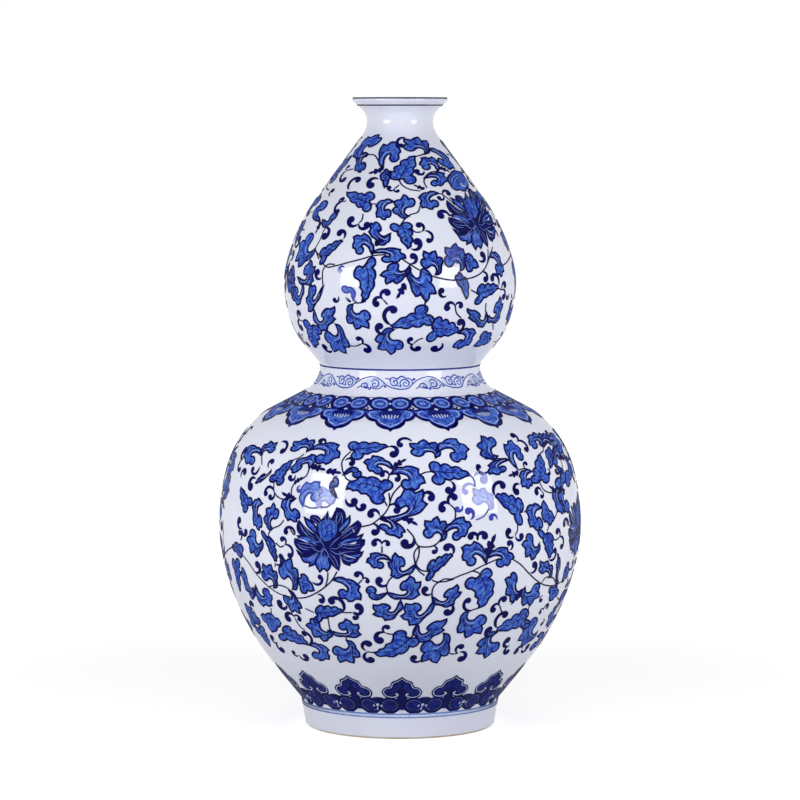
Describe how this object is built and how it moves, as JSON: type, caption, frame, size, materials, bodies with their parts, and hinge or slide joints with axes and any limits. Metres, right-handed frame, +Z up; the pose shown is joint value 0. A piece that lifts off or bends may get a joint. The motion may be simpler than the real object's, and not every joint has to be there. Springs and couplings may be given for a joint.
{
  "type": "double gourd vase",
  "caption": "Double gourd vase in blue-and-white porcelain: two round bulbs with a narrow waist between, a short flared mouth and a turned foot ring.",
  "frame": {"origin": "centre of the foot ring on the plane that the vase stands on", "axes": "+Z up along the axis of the vase; the vase is round about it, and +X and -Y are picked by the painting: -Y faces the viewer of the picture"},
  "size_m": [0.2076, 0.2076, 0.36],
  "materials": {
    "porcelain_body": "fired porcelain, bare and matt where the foot ring is wiped",
    "slip": "fired porcelain slip inside the wall",
    "clear_glaze": "glossy clear glaze with a faint blue tint over underglaze cobalt painting"
  },
  "bodies": {
    "root": {"base_and_foot": "porcelain_body", "lower_bulb_shoulder": "porcelain_body", "waist_and_upper_bulb_base": "porcelain_body", "upper_bulb_shoulder": "porcelain_body", "neck_and_mouth": "porcelain_body", "belly_luting_joint": "slip", "waist_luting_joint": "slip", "bulb_luting_joint": "slip", "neck_luting_joint": "slip", "outer_glaze": "clear_glaze", "inner_glaze": "clear_glaze", "foot_recess_glaze": "clear_glaze"}
  },
  "joints": []
}
